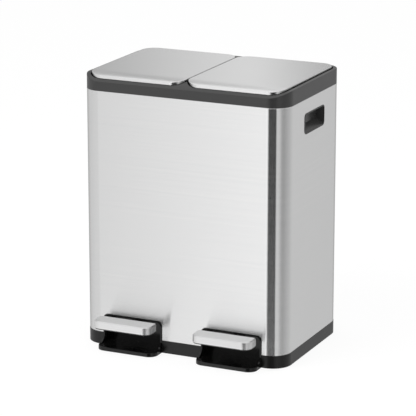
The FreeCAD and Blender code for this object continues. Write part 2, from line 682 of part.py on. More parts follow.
def pedal_pad():
    """Plastic core of the tread, with a pocket each side of the lever."""
    inset = PEDAL_SHEET + PAD_GAP
    pad = pedal_block(inset, PAD_BOTTOM)
    front = FRONT - PEDAL_REACH + inset + PAD_WALL
    back = FRONT - PEDAL_STANDOFF - inset - PAD_WALL
    near_side = LEVER_WIDTH / 2 + PAD_WALL
    far_side = PEDAL_WIDTH / 2 - inset - PAD_WALL
    for left, right in ((near_side, far_side), (-far_side, -near_side)):
        corners = rectangle(HINGE_X + left, HINGE_X + right, front, back, PAD_WALL)
        pad = pad.cut(plan_prism(corners, PAD_BOTTOM - PAST, PEDAL_TOP - inset - PAD_POCKET_TOP))
    for y in pad_screw_places():
        pad = pad.cut(disc(SCREW_RADIUS, HINGE_X, y, PAD_BOTTOM - PAST,
                           PAD_BOTTOM - LEVER_THICKNESS + PAD_SCREW_LENGTH))
    return pad


def pad_screws():
    """Screws from below through the lever into the core."""
    return Part.makeCompound([screw(HINGE_X, y, PAD_BOTTOM - LEVER_THICKNESS, PAD_SCREW_LENGTH,
                                    SCREW_HEAD, True) for y in pad_screw_places()])


def pedal_lever():
    """Steel bar from the tread over the axle to under the rod, with its hub."""
    path = ((LEVER_FRONT_Y, LEVER_FRONT_Z, 0), (SURROUND_BACK - LEVER_BEND / 2, LEVER_FRONT_Z,
            LEVER_BEND), (PIVOT_Y, LEVER_KNEE_Z, LEVER_BEND), (LEVER_TAIL_Y, LEVER_TAIL_HEIGHT, 0))
    half = LEVER_THICKNESS / 2
    top = [(y, z + half, bend) for y, z, bend in path]
    bottom = [(y, z - half, bend) for y, z, bend in reversed(path)]
    left, right = HINGE_X - LEVER_WIDTH / 2, HINGE_X + LEVER_WIDTH / 2
    bar = side_prism(top + bottom, left, right)
    rounded = plan_prism(rectangle(left, right, LEVER_FRONT_Y, LEVER_TAIL_Y, LEVER_CORNER),
                         -PAST, PEDAL_TOP)
    hub = crosswise(HUB_RADIUS, HINGE_X - HUB_WIDTH / 2, HINGE_X + HUB_WIDTH / 2, PIVOT_Y,
                    PIVOT_HEIGHT)
    lever = bar.common(rounded).fuse(hub)
    holes = [crosswise(AXLE_RADIUS + RUNNING_FIT, HINGE_X - AXLE_LENGTH, HINGE_X + AXLE_LENGTH,
                       PIVOT_Y, PIVOT_HEIGHT)]
    for y in pad_screw_places():
        holes.append(disc(SCREW_RADIUS + SCREW_CLEARANCE, HINGE_X, y, PAD_BOTTOM - PEDAL_SKIRT,
                          PEDAL_TOP))
    return lever.cut(Part.makeCompound(holes)).removeSplitter()


def pedal_axle():
    """Headed axle through the two posts of the base and the lever's hub."""
    left, right = HINGE_X - AXLE_LENGTH / 2, HINGE_X + AXLE_LENGTH / 2
    axle = crosswise(AXLE_RADIUS, left, right, PIVOT_Y, PIVOT_HEIGHT)
    return axle.fuse(crosswise(AXLE_HEAD_RADIUS, left, left + AXLE_HEAD, PIVOT_Y, PIVOT_HEIGHT))


def axle_clips():
    """Clip on the end of each axle, against the post."""
    start = HINGE_X + HUB_WIDTH / 2 + POST_GAP + POST_WIDTH
    clip = crosswise(CLIP_RADIUS, start, start + CLIP_THICKNESS, PIVOT_Y, PIVOT_HEIGHT)
    return both(clip.cut(crosswise(AXLE_RADIUS, start - PAST, start + PAST, PIVOT_Y,
                                   PIVOT_HEIGHT)))


# ---- pedal surrounds ------------------------------------------------------------------------
def pedal_surround():
    """Arch round the right pedal, with a tray in front and a slotted wall at its back.

    The arch laps over the edge of the steel, and a sleeve reaches through the cut-out.
    """
    left, right = HINGE_X - SURROUND_WIDTH / 2, HINGE_X + SURROUND_WIDTH / 2
    arch = front_prism(rectangle(left, right, GROUND_GAP, SURROUND_TOP, 0, SURROUND_CORNER),
                       SURROUND_FRONT, FRONT)
    inset = CUTOUT_LAP + PIECE_GAP
    sleeve = front_prism(rectangle(left + inset, right - inset, GROUND_GAP,
                                   SURROUND_TOP - inset, 0, SURROUND_CORNER - inset),
                         FRONT, SURROUND_BACK)
    tray = plan_prism(rectangle(left, right, TRAY_FRONT, SURROUND_BACK, TRAY_CORNER, 0),
                      GROUND_GAP, TRAY_TOP)

    def is_tray_edge(middle, edge):
        return near(middle.z, TRAY_TOP) and not near(middle.y, SURROUND_BACK)

    tray = softened(tray, TRAY_SOFTNESS, is_tray_edge)
    cheeks = [surround_cheek(x) for x in (left, right - SURROUND_WALL)]
    solid = arch.fuse([sleeve, tray] + cheeks)
    inside_left, inside_right = left + SURROUND_WALL, right - SURROUND_WALL
    cavity = front_prism(rectangle(inside_left, inside_right, TRAY_TOP,
                                   SURROUND_TOP - SURROUND_WALL, 0,
                                   SURROUND_CORNER - SURROUND_WALL),
                         TRAY_FRONT - PAST, SURROUND_BACK - SURROUND_BACK_WALL)
    underside = plan_prism(rectangle(inside_left, inside_right, TRAY_FRONT + SURROUND_WALL,
                                     SURROUND_BACK - SURROUND_BACK_WALL,
                                     TRAY_CORNER - SURROUND_WALL, 0),
                           GROUND_GAP - PAST, TRAY_TOP - TRAY_PLATE)
    slot = box(HINGE_X - SLOT_WIDTH / 2, HINGE_X + SLOT_WIDTH / 2, FRONT, SURROUND_BACK + PAST,
               SLOT_BOTTOM, SLOT_TOP)
    return solid.cut(cavity).cut(underside).cut(slot).removeSplitter()


def surround_cheek(left):
    """Side of the surround that sweeps down onto the tray in a hollow quarter round."""
    front = FRONT - CHEEK_RADIUS
    right = left + SURROUND_WALL
    block = box(left, right, front, FRONT, TRAY_TOP - TRAY_PLATE, TRAY_TOP + CHEEK_RADIUS)
    return block.cut(crosswise(CHEEK_RADIUS, left - PAST, right + PAST, front,
                               TRAY_TOP + CHEEK_RADIUS))


# ---- base and inner floor -------------------------------------------------------------------
def surround_space(extra):
    """Room for the right surround in the base."""
    half = SURROUND_WIDTH / 2 + PIECE_GAP
    return box(HINGE_X - half, HINGE_X + half, FRONT - PAST, SURROUND_BACK + PIECE_GAP,
               GROUND_GAP - PAST, UPSTAND_TOP + extra)


def axle_posts():
    """Two posts that hold the right axle."""
    posts = []
    near_side = HUB_WIDTH / 2 + POST_GAP
    for start in (near_side, -near_side - POST_WIDTH):
        left = HINGE_X + start
        posts.append(box(left, left + POST_WIDTH, PIVOT_Y - POST_DEPTH / 2,
                         PIVOT_Y + POST_DEPTH / 2, BASE_FLOOR_BOTTOM, PIVOT_HEIGHT + POST_ABOVE))
    return posts


def base_screw_places():
    return [(side * BASE_SCREW_X, y) for side in (-1, 1)
            for y in (BASE_SCREW_FRONT_Y, BASE_SCREW_BACK_Y)]


def base_tray():
    """Moulded base: band round the foot of the steel, floor, upstand inside the steel, posts."""
    band = body_prism(-BASE_PROUD, GROUND_GAP, BASE_TOP)
    band = softened(band, BASE_SOFTNESS, lambda middle, edge: near(middle.z, BASE_TOP))
    band = band.cut(body_prism(BASE_WALL, GROUND_GAP - PAST, BASE_TOP + PAST))
    floor = body_prism(BASE_WALL / 2, BASE_FLOOR_BOTTOM, BASE_FLOOR_TOP)
    upstand = body_ring(SKIRT_INSET, SKIRT_INSET + UPSTAND_WALL, BASE_FLOOR_BOTTOM, UPSTAND_TOP)
    posts = axle_posts()
    base = band.fuse([floor, upstand] + posts + [mirrored(post) for post in posts])
    bore = crosswise(AXLE_RADIUS + FIXED_FIT, HINGE_X - AXLE_LENGTH / 2,
                     HINGE_X + AXLE_LENGTH / 2, PIVOT_Y, PIVOT_HEIGHT)
    holes = [disc(SCREW_RADIUS + SCREW_CLEARANCE, x, y, 0, BASE_TOP)
             for x, y in base_screw_places()]
    base = base.cut(both(surround_space(PAST))).cut(both(bore))
    return base.cut(Part.makeCompound(holes)).removeSplitter()


def rubber_feet():
    places = [(x, y) for x in (-FOOT_SIDE_X, 0, FOOT_SIDE_X) for y in (FOOT_FRONT_Y, FOOT_BACK_Y)]
    return Part.makeCompound([disc(FOOT_RADIUS, x, y, 0, BASE_FLOOR_BOTTOM) for x, y in places])


def base_screws():
    """Screws up through the base into the inner floor."""
    return Part.makeCompound([screw(x, y, BASE_FLOOR_BOTTOM, BASE_SCREW_LENGTH, BASE_SCREW_HEAD,
                                    True) for x, y in base_screw_places()])


def inner_floor():
    """Raised floor for the buckets, over the levers, on legs that stand on the base."""
    room = box(-FAR, FAR, FLOOR_FRONT, FAR, 0, FAR)
    plate = body_prism(FLOOR_INSET, FLOOR_UNDER, FLOOR_TOP).common(room)
    legs = body_prism(FLOOR_INSET, BASE_FLOOR_TOP, FLOOR_TOP).common(room)
    legs = legs.cut(body_prism(FLOOR_INSET + FLOOR_LEG, 0, FLOOR_UNDER).common(
        box(-FAR, FAR, FLOOR_FRONT + FLOOR_LEG, FAR, 0, FAR)))
    rib = box(-FLOOR_RIB / 2, FLOOR_RIB / 2, FLOOR_FRONT, BACK - FLOOR_INSET - FLOOR_LEG,
              BASE_FLOOR_TOP, FLOOR_TOP)
    bosses = [disc(FLOOR_BOSS_RADIUS, x, y, BASE_FLOOR_TOP, FLOOR_TOP)
              for x, y in base_screw_places()]
    holes = [disc(SCREW_RADIUS, x, y, 0, BASE_FLOOR_BOTTOM + BASE_SCREW_LENGTH)
             for x, y in base_screw_places()]
    slot_half = LEVER_WIDTH / 2 + LEVER_SLOT_GAP
    holes.append(both(box(HINGE_X - slot_half, HINGE_X + slot_half, FLOOR_FRONT - PAST,
                          FLOOR_FRONT + FLOOR_LEG, 0, FLOOR_UNDER)))
    holes.append(both(disc(ROD_RADIUS + ROD_HOLE_GAP, HINGE_X, ROD_Y, 0, FLOOR_TOP + PAST)))
    floor = plate.fuse([legs, rib] + bosses)
    for hole in holes:
        floor = floor.cut(hole)
    return floor.removeSplitter()


# ---- buckets --------------------------------------------------------------------------------
def bucket_loft(inset, bottom, top):
    """Tapered body of the right bucket, moved inwards, between two heights."""
    height = BUCKET_RIM - FLOOR_TOP
    wires = []
    for z in (bottom, top):
        drawn_in = BUCKET_TAPER * (BUCKET_RIM - z) / height
        outline = opening_outline(BUCKET_GAP + BUCKET_FLANGE + inset + drawn_in)
        face = rounded_face(outline, lambda x, y, z=z: Vector(x, y, z))
        wires.append(face.OuterWire)
    return Part.makeLoft(wires, True, True)


def inner_bucket():
    """Lift-out bucket on the right, with a flanged rim and a hand slot in each side."""
    flange = plan_prism(opening_outline(BUCKET_GAP), BUCKET_RIM - BUCKET_FLANGE_THICKNESS,
                        BUCKET_RIM)
    bucket = bucket_loft(0, FLOOR_TOP, BUCKET_RIM).fuse(flange)
    bucket = bucket.cut(bucket_loft(BUCKET_WALL, FLOOR_TOP + BUCKET_BOTTOM, BUCKET_RIM + PAST))
    middle = (OPENING_FRONT + OPENING_BACK) / 2
    slot_top = BUCKET_RIM - BUCKET_SLOT_DROP
    corners = rectangle(middle - BUCKET_SLOT_WIDTH / 2, middle + BUCKET_SLOT_WIDTH / 2,
                        slot_top - BUCKET_SLOT_HEIGHT, slot_top, BUCKET_SLOT_CORNER)
    return bucket.cut(side_prism(corners, 0, HALF_WIDTH))


# ---- side grips -----------------------------------------------------------------------------
def side_grip():
    """Recessed grip on the right: bezel, sloping floor and a lip to curl the fingers behind."""
    half = GRIP_WIDTH / 2
    face = HALF_WIDTH + GRIP_PROUD
    pocket_back = HALF_WIDTH - GRIP_DEPTH
    mouth_half = half - GRIP_BEZEL
    mouth_low, mouth_high = GRIP_BOTTOM + GRIP_BEZEL, GRIP_TOP - GRIP_BEZEL
    mouth_corner = GRIP_CORNER - GRIP_BEZEL
    top = mouth_high + GRIP_UNDERCUT
    slope = GRIP_FLOOR_RISE / (face - pocket_back)
    drop = GRIP_WALL * math.hypot(1, slope)

    def floor_height(x):
        return mouth_low + slope * (face - x)

    bezel = side_prism(rectangle(-half, half, GRIP_BOTTOM, GRIP_TOP, GRIP_CORNER), HALF_WIDTH,
                       face)
    neck = side_prism(rectangle(-mouth_half - NECK_WALL, mouth_half + NECK_WALL,
                                mouth_low - NECK_WALL, mouth_high + NECK_WALL,
                                mouth_corner + NECK_WALL),
                      HALF_WIDTH - GRIP_LIP, HALF_WIDTH)
    inside_steel = HALF_WIDTH - SKIRT_INSET
    back = pocket_back - GRIP_WALL
    shell = front_prism([(inside_steel, floor_height(inside_steel) - drop, 0),
                         (inside_steel, top + GRIP_WALL, 0), (back, top + GRIP_WALL, 0),
                         (back, floor_height(back) - drop, 0)],
                        -mouth_half - GRIP_WALL, mouth_half + GRIP_WALL)
    mouth = side_prism(rectangle(-mouth_half, mouth_half, mouth_low, mouth_high, mouth_corner),
                       pocket_back, face + PAST)
    pocket = box(pocket_back, face - GRIP_LIP, -mouth_half, mouth_half, mouth_low, top)
    outer = face + PAST
    wedge = front_prism([(outer, mouth_low - PAST, 0), (outer, floor_height(outer), 0),
                         (back, floor_height(back), 0), (back, mouth_low - PAST, 0)],
                        -half - PAST, half + PAST)
    space = mouth.fuse(pocket).cut(wedge)
    return bezel.fuse([neck, shell]).cut(space).removeSplitter()


# ---- the part -------------------------------------------------------------------------------
def both_sides(name, shape):
    """A piece on the right and its mirror image on the left, by their nodes' names."""
    return {name + "_right": shape, name + "_left": mirrored(shape)}


def all_nodes():
    nodes = {"steel_shell": steel_shell(), "rear_seam_strip": rear_seam_strip(),
             "top_collar": top_collar(), "base_tray": base_tray(), "inner_floor": inner_floor(),
             "rubber_feet": rubber_feet(), "base_screws": base_screws(),
             "hinge_screws": hinge_screws(), "axle_clips": axle_clips()}
    for piece in (lid_skin, lid_frame, lid_bumpers, hinge_bracket, hinge_pin, push_rod, rod_cap,
                  rod_bush, pedal_cap, pedal_pad, pad_screws, pedal_lever, pedal_axle,
                  pedal_surround, inner_bucket, side_grip):
        nodes.update(both_sides(piece.__name__, piece()))
    return nodes


os.makedirs("parts", exist_ok=True)
for node, shape in all_nodes().items():
    shape.translate(ORIGIN_SHIFT)
    shape.exportStep("parts/" + node + ".step")
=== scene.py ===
"""Looks of a double recycling bin, built round its packed construction.

Every solid of the construction stays where it is and gets a finish of its own. The folded edge of
the steel under the collar is modelled here, and so is the studio that the bin stands in.
"""

import logging
import math
from collections.abc import Callable, Sequence
from dataclasses import dataclass
from enum import Enum

import bmesh
import bpy
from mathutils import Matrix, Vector


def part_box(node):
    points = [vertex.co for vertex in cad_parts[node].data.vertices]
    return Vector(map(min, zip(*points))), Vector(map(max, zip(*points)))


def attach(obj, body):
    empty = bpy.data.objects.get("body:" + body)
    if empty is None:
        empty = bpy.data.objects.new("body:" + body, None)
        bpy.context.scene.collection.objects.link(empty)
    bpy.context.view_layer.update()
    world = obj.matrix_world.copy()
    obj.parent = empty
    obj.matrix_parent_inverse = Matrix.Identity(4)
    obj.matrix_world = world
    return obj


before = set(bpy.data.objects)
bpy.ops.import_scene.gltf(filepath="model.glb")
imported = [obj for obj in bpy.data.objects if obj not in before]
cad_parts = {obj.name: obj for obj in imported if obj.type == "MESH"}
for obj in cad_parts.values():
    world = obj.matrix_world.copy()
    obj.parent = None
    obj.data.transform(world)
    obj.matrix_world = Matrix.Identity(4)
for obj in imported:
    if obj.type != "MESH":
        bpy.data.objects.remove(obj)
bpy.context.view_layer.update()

log = logging.getLogger("bin")

MM = 0.001
SIDES = ("left", "right")
SHARP_ANGLE = math.radians(35)
CORNER_STEPS = 24
NOISE_MEAN = 0.5


# ---- shader building ------------------------------------------------------------------------
class Value:
    """A number that varies over a surface, with arithmetic that adds Math nodes."""

    def __init__(self, graph: "Graph", socket: bpy.types.NodeSocket) -> None:
        """Wraps one output socket.

        Args:
            graph: The graph that the socket belongs to.
            socket: The output socket.
        """
        self.graph = graph
        self.socket = socket

    def math(self, operation: str, *others: "Value | float", swapped: bool = False) -> "Value":
        """Adds one Math node.

        Args:
            operation: The node's operation.
            others: The further operands.
            swapped: True if this value is the second operand.

        Returns:
            The node's result.
        """
        operands = [self, *others]
        if swapped:
            operands.reverse()
        node = self.graph.node("ShaderNodeMath", {"operation": operation},
                               dict(enumerate(operands)))
        return Value(self.graph, node.outputs[0])

    def __add__(self, other: "Value | float") -> "Value":
        """This value plus another.

        Args:
            other: What is added.

        Returns:
            The sum.
        """
        return self.math("ADD", other)

    __radd__ = __add__

    def __sub__(self, other: "Value | float") -> "Value":
        """This value less another.

        Args:
            other: What is taken off.

        Returns:
            The difference.
        """
        return self.math("SUBTRACT", other)

    def __rsub__(self, other: "Value | float") -> "Value":
        """A number less this value.

        Args:
            other: The number.

        Returns:
            The difference.
        """
        return self.math("SUBTRACT", other, swapped=True)

    def __mul__(self, other: "Value | float") -> "Value":
        """This value times another.

        Args:
            other: The factor.

        Returns:
            The product.
        """
        return self.math("MULTIPLY", other)

    __rmul__ = __mul__

    def __truediv__(self, other: "Value | float") -> "Value":
        """This value divided by another.

        Args:
            other: The divisor.

        Returns:
            The quotient.
        """
        return self.math("DIVIDE", other)

    def ramp(self, low: float, high: float) -> "Value":
        """0 below low, 1 above high and smooth between.

        Args:
            low: Where the rise starts.
            high: Where it ends.

        Returns:
            The mask.
        """
        node = self.graph.node("ShaderNodeMapRange", {"interpolation_type": "SMOOTHSTEP"},
                               {"Value": self, "From Min": low, "From Max": high})
        return Value(self.graph, node.outputs["Result"])


class Graph:
    """The nodes of one material or world."""

    def __init__(self, tree: bpy.types.NodeTree) -> None:
        """Empties a node tree.

        Args:
            tree: The tree that the nodes go into.
        """
        self.tree = tree
        tree.nodes.clear()

    def node(self, kind: str, settings: dict[str, object] | None = None,
             inputs: dict[str | int, object] | None = None) -> bpy.types.Node:
        """Adds a node.

        Args:
            kind: The node's type.
            settings: Its properties. A ramp's stops are a list of (position, level) pairs.
            inputs: Its sockets' values or links, by name or number.

        Returns:
            The node.
        """
        node = self.tree.nodes.new(kind)
        for name, setting in (settings or {}).items():
            if name == "stops":
                self._set_stops(node, setting)
            else:
                setattr(node, name, setting)
        for name, value in (inputs or {}).items():
            source = value.socket if isinstance(value, Value) else value
            if isinstance(source, bpy.types.NodeSocket):
                self.tree.links.new(source, node.inputs[name])
            else:
                node.inputs[name].default_value = source
        return node

    @staticmethod
    def _set_stops(node: bpy.types.Node, stops: Sequence[tuple[float, float]]) -> None:
        """Gives a colour ramp its grey stops.

        Args:
            node: The ramp's node.
            stops: Position and level of each stop.
        """
        ramp = node.color_ramp
        while len(ramp.elements) < len(stops):
            ramp.elements.new(1.0)
        for element, (position, level) in zip(ramp.elements, stops):
            element.position = position
            element.color = (level, level, level, 1.0)

    def position(self) -> bpy.types.NodeSocket:
        """Where on the piece a point is.

        Returns:
            The coordinates, in metres.
        """
        return self.node("ShaderNodeTexCoord").outputs["Object"]

    def stretched(self, scale: tuple[float, float, float]) -> bpy.types.NodeSocket:
        """The piece's coordinates, scaled by axis.

        Args:
            scale: The factor along X, Y and Z.

        Returns:
            The scaled coordinates.
        """
        node = self.node("ShaderNodeVectorMath", {"operation": "MULTIPLY"},
                         {0: self.position(), 1: scale})
        return node.outputs["Vector"]

    def noise(self, where: bpy.types.NodeSocket, scale: float, detail: float = 2.0,
              roughness: float = 0.5) -> Value:
        """Smooth noise from 0 to 1.

        Args:
            where: The coordinates.
            scale: Blobs per unit of the coordinates.
            detail: Octaves.
            roughness: How strong the fine octaves are.

        Returns:
            The noise.
        """
        node = self.node("ShaderNodeTexNoise", {"noise_dimensions": "3D"},
                         {"Vector": where, "Scale": scale, "Detail": detail,
                          "Roughness": roughness})
        return Value(self, node.outputs["Fac"])

    def blend(self, mask: Value, low: Sequence[float], high: Sequence[float]
              ) -> bpy.types.NodeSocket:
        """Two colours mixed by a mask.

        Args:
            mask: 0 for the first colour, 1 for the second.
            low: The first colour.
            high: The second colour.

        Returns:
            The mixed colour.
        """
        node = self.node("ShaderNodeMix", {"data_type": "RGBA", "clamp_factor": True},
                         {"Factor": mask, "A": (*low, 1.0), "B": (*high, 1.0)})
        return node.outputs["Result"]

    def bump(self, height: Value, distance: float) -> bpy.types.NodeSocket:
        """A normal that follows a height.

        Args:
            height: The height, from 0 to 1.
            distance: How far 1 stands above 0, in metres.

        Returns:
            The normal.
        """
        node = self.node("ShaderNodeBump", {}, {"Height": height, "Distance": distance})
        return node.outputs["Normal"]

    def surface(self, shader: bpy.types.NodeSocket) -> None:
        """Sends a shader to the output.

        Args:
            shader: The shader.
        """
        self.node("ShaderNodeOutputMaterial", {}, {"Surface": shader})


def tinted(level: float, warmth: float = 0.0) -> tuple[float, float, float]:
    """A grey with a slight warmth.

    Args:
        level: Its brightness.
        warmth: The share by which red is above and blue is below it.

    Returns:
        Linear red, green and blue.
    """
    return (level * (1 + warmth), level, level * (1 - warmth))


# ---- finishes -------------------------------------------------------------------------------
class Grain(Enum):
    """Which way the brushing runs, as scales of its noise along X, Y and Z."""

    ROUND = (2.0, 2.0, 900.0)
    ACROSS = (2.0, 900.0, 900.0)


@dataclass(frozen=True)
class BrushedSteel:
    """Stainless steel with a fine one-way grain."""

    name: str
    grain: Grain
    level: float = 0.80
    roughness: float = 0.20
    stretch: float = 0.0
    streaks: float = 0.02
    grain_depth: float = 4e-7
    coarse_times: float = 6.0
    fine_share: float = 0.65
    cloud_scale: float = 7.0
    contrast: tuple[float, float] = (0.3, 0.7)
    warmths: tuple[float, float] = (-0.004, 0.002)
    line_gloss: float = 0.12
    cloud_gloss: float = 0.04
    stretch_turn: float = 0.25

    def build(self) -> bpy.types.Material:
        """Makes the material.

        Returns:
            The material.
        """
        material, graph = new_material(self.name)
        wide = tuple(scale / self.coarse_times for scale in self.grain.value)
        fine = graph.noise(graph.stretched(self.grain.value), 1.0, detail=3.0, roughness=0.6)
        coarse = graph.noise(graph.stretched(wide), 1.0)
        cloud = graph.noise(graph.position(), self.cloud_scale)
        lines = fine * self.fine_share + coarse * (1 - self.fine_share)
        dark = tinted(self.level * (1 - self.streaks), self.warmths[0])
        light = tinted(self.level * (1 + self.streaks), self.warmths[1])
        colour = graph.blend(lines.ramp(*self.contrast), dark, light)
        rough = ((lines - NOISE_MEAN) * self.line_gloss + (cloud - NOISE_MEAN) * self.cloud_gloss
                 + self.roughness)
        shader = graph.node("ShaderNodeBsdfPrincipled", {}, {
            "Base Color": colour, "Metallic": 1.0, "Roughness": rough,
            "Normal": graph.bump(lines, self.grain_depth)})
        shader.inputs["Anisotropic"].default_value = self.stretch
        shader.inputs["Anisotropic Rotation"].default_value = self.stretch_turn
        graph.surface(shader.outputs[0])
        return material


@dataclass(frozen=True)
class MouldedPlastic:
    """Dark moulded plastic with a fine spark-eroded texture and slight handling marks, and, where
    a pocket level is given, painted light that lifts the inside of a pocket to a lighter grey.
    """

    name: str
    level: float
    roughness: float
    shine: float = 0.5
    warmth: float = 0.0
    texture_size: float = 0.35 * MM
    texture_depth: float = 4e-6
    marks: float = 0.12
    # These three set the painted light inside a pocket: its grey, the edge across X where it
    # starts, and its share of the colour mask.
    pocket_painted_light_level: float = 0.0
    pocket_painted_light_edge: tuple[float, float] = (0.0, 0.0)
    pocket_painted_light_share: float = 0.85
    texture_share: float = 0.4
    cloud_scale: float = 11.0
    rub_scale: tuple[float, float, float] = (30.0, 30.0, 90.0)
    rub_range: tuple[float, float] = (0.5, 0.8)
    cloud_gloss: float = 0.10
    texture_gloss: float = 0.06
    rub_gloss: float = 0.03

    def build(self) -> bpy.types.Material:
        """Makes the material.

        Returns:
            The material.
        """
        material, graph = new_material(self.name)
        where = graph.position()
        pits = graph.noise(where, 1 / self.texture_size, detail=2.0, roughness=0.6)
        cloud = graph.noise(where, self.cloud_scale, detail=3.0, roughness=0.55)
        rubs = graph.noise(graph.stretched(self.rub_scale), 1.0, detail=3.0, roughness=0.6)
        dark = tinted(self.level * (1 - self.marks), self.warmth)
        light = tinted(self.level * (1 + self.marks), self.warmth)
        spread = pits * self.texture_share + cloud * (1 - self.texture_share)
        # Painted light: inboard of the pocket's edge across X, the colour is lifted towards a
        # lighter grey that stands in for light falling on the pocket's back wall, not the
        # plastic's own colour.
        if self.pocket_painted_light_level:
            parts = graph.node("ShaderNodeSeparateXYZ", {}, {0: where})
            across = Value(graph, parts.outputs["X"]).math("ABSOLUTE")
            inner = 1 - across.ramp(*self.pocket_painted_light_edge)
            spread = inner * self.pocket_painted_light_share + spread * (1 - self.pocket_painted_light_share)
            light = tinted(self.pocket_painted_light_level, self.warmth)
        colour = graph.blend(spread, dark, light)
        rough = ((cloud - NOISE_MEAN) * self.cloud_gloss + (pits - NOISE_MEAN) * self.texture_gloss
                 + self.roughness - rubs.ramp(*self.rub_range) * self.rub_gloss)
        shader = graph.node("ShaderNodeBsdfPrincipled", {}, {
            "Base Color": colour, "Roughness": rough,
            "Normal": graph.bump(pits, self.texture_depth)})
        shader.inputs["Specular IOR Level"].default_value = self.shine
        graph.surface(shader.outputs[0])
        return material


@dataclass(frozen=True)
class PlatedSteel:
    """Zinc-plated steel with soft grey clouds."""

    name: str
    level: float = 0.55
    roughness: float = 0.32
    cloud_scale: float = 60.0
    grit_scale: float = 1500.0
    grit_depth: float = 2e-6
    cloud_share: float = 0.7
    contrast: tuple[float, float] = (0.3, 0.7)
    levels: tuple[float, float] = (0.82, 1.12)
    warmths: tuple[float, float] = (-0.01, 0.015)
    gloss_change: float = 0.3

    def build(self) -> bpy.types.Material:
        """Makes the material.

        Returns:
            The material.
        """
        material, graph = new_material(self.name)
        where = graph.position()
        cloud = graph.noise(where, self.cloud_scale, detail=4.0, roughness=0.6)
        grit = graph.noise(where, self.grit_scale)
        mask = cloud * self.cloud_share + grit * (1 - self.cloud_share)
        dark, light = (tinted(self.level * share, warmth)
                       for share, warmth in zip(self.levels, self.warmths))
        colour = graph.blend(mask.ramp(*self.contrast), dark, light)
        rough = (mask - NOISE_MEAN) * self.gloss_change + self.roughness
        shader = graph.node("ShaderNodeBsdfPrincipled", {}, {
            "Base Color": colour, "Metallic": 1.0, "Roughness": rough,
            "Normal": graph.bump(grit, self.grit_depth)})
        graph.surface(shader.outputs[0])
        return material


@dataclass(frozen=True)
class Rubber:
    """Matt black rubber with a powdery bloom."""

    name: str
    level: float = 0.022
    roughness: float = 0.65
    bloom_scale: float = 90.0
    bloom_range: tuple[float, float] = (0.45, 0.8)
    bloom_times: float = 2.2
    bloom_gloss: float = 0.2
    grit_scale: float = 2200.0
    grit_depth: float = 1e-5

    def build(self) -> bpy.types.Material:
        """Makes the material.

        Returns:
            The material.
        """
        material, graph = new_material(self.name)
        where = graph.position()
        bloom = graph.noise(where, self.bloom_scale, detail=4.0, roughness=0.65)
        grit = graph.noise(where, self.grit_scale)
        colour = graph.blend(bloom.ramp(*self.bloom_range), tinted(self.level),
                             tinted(self.level * self.bloom_times))
        shader = graph.node("ShaderNodeBsdfPrincipled", {}, {
            "Base Color": colour, "Roughness": bloom * self.bloom_gloss + self.roughness,
            "Normal": graph.bump(grit, self.grit_depth)})
        graph.surface(shader.outputs[0])
        return material


def new_material(name: str) -> tuple[bpy.types.Material, Graph]:
    """An empty material and its graph.

    Args:
        name: The material's name.

    Returns:
        The material and its graph.
    """
    material = bpy.data.materials.new(name)
    material.use_nodes = True
    return material, Graph(material.node_tree)


class Paintbox:
    """Every finish of the bin, made once."""

    FINISHES = (
        BrushedSteel("body_steel", Grain.ROUND, roughness=0.22, stretch=1.0),
        BrushedSteel("lid_steel", Grain.ACROSS, roughness=0.24, level=0.84),
        BrushedSteel("tread_steel", Grain.ACROSS, roughness=0.38, level=0.88),
        MouldedPlastic("collar_plastic", 0.030, 0.34, shine=0.55),
        MouldedPlastic("base_plastic", 0.007, 0.30, shine=0.38),
        MouldedPlastic("gloss_black", 0.006, 0.14, shine=0.38, texture_depth=4e-7, marks=0.05),
        # The grip's finish paints light into its pocket: the inside walls are a lighter grey where
        # they would be lit.
        MouldedPlastic("grip_black", 0.004, 0.26, shine=0.45, pocket_painted_light_level=0.045,
                       pocket_painted_light_edge=(0.2560, 0.2578)),
        MouldedPlastic("inner_plastic", 0.035, 0.40),
        MouldedPlastic("bucket_plastic", 0.045, 0.36, warmth=-0.02),
        MouldedPlastic("guide_plastic", 0.62, 0.30, warmth=0.03, texture_depth=1e-6),
        PlatedSteel("plated_steel"),
        Rubber("black_rubber"),
    )

    def __init__(self) -> None:
        """Builds the materials."""
        self.materials = {finish.name: finish.build() for finish in self.FINISHES}

    def dress_node(self, node: str, finish: str) -> None:
        """Gives a solid of the construction its finish.

        Args:
            node: The node's name.
            finish: The finish's name.
        """
        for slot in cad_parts[node].material_slots:
            slot.material = self.materials[finish]
        log.info("%s is finished in %s", node, finish)

    def dress_piece(self, piece: bpy.types.Object, finish: str, body: str) -> None:
        """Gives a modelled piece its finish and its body.

        Args:
            piece: The piece.
            finish: The finish's name.
            body: The body that it moves with.
        """
        piece.data.materials.append(self.materials[finish])
        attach(piece, body)
        log.info("%s rides on %s", piece.name, body)


# ---- mesh building --------------------------------------------------------------------------
def mesh_piece(name: str, build: Callable[[bmesh.types.BMesh], None]) -> bpy.types.Object:
    """Makes an object from a function that fills a bmesh.

    Args:
        name: The piece's name.
        build: Fills the bmesh, in metres, in the construction's frame.

    Returns:
        The object.
    """
    mesh = bpy.data.meshes.new(name)
    shape = bmesh.new()
    build(shape)
    bmesh.ops.recalc_face_normals(shape, faces=shape.faces)
    for face in shape.faces:
        face.smooth = True
    for edge in shape.edges:
        edge.smooth = edge.calc_face_angle(0.0) < SHARP_ANGLE
    shape.to_mesh(mesh)
    shape.free()
    piece = bpy.data.objects.new(name, mesh)
    bpy.context.scene.collection.objects.link(piece)
    return piece


def skin_rings(shape: bmesh.types.BMesh, rings: Sequence[Sequence[Vector]]) -> None:
    """Joins rings of equally many points with faces.

    Args:
        shape: The bmesh.
        rings: The rings, in order.
    """
    made = [[shape.verts.new(point) for point in ring] for ring in rings]
    for ring, following in zip(made, made[1:]):
        for index in range(len(ring)):
            after = (index + 1) % len(ring)
            shape.faces.new((ring[index], ring[after], following[after], following[index]))


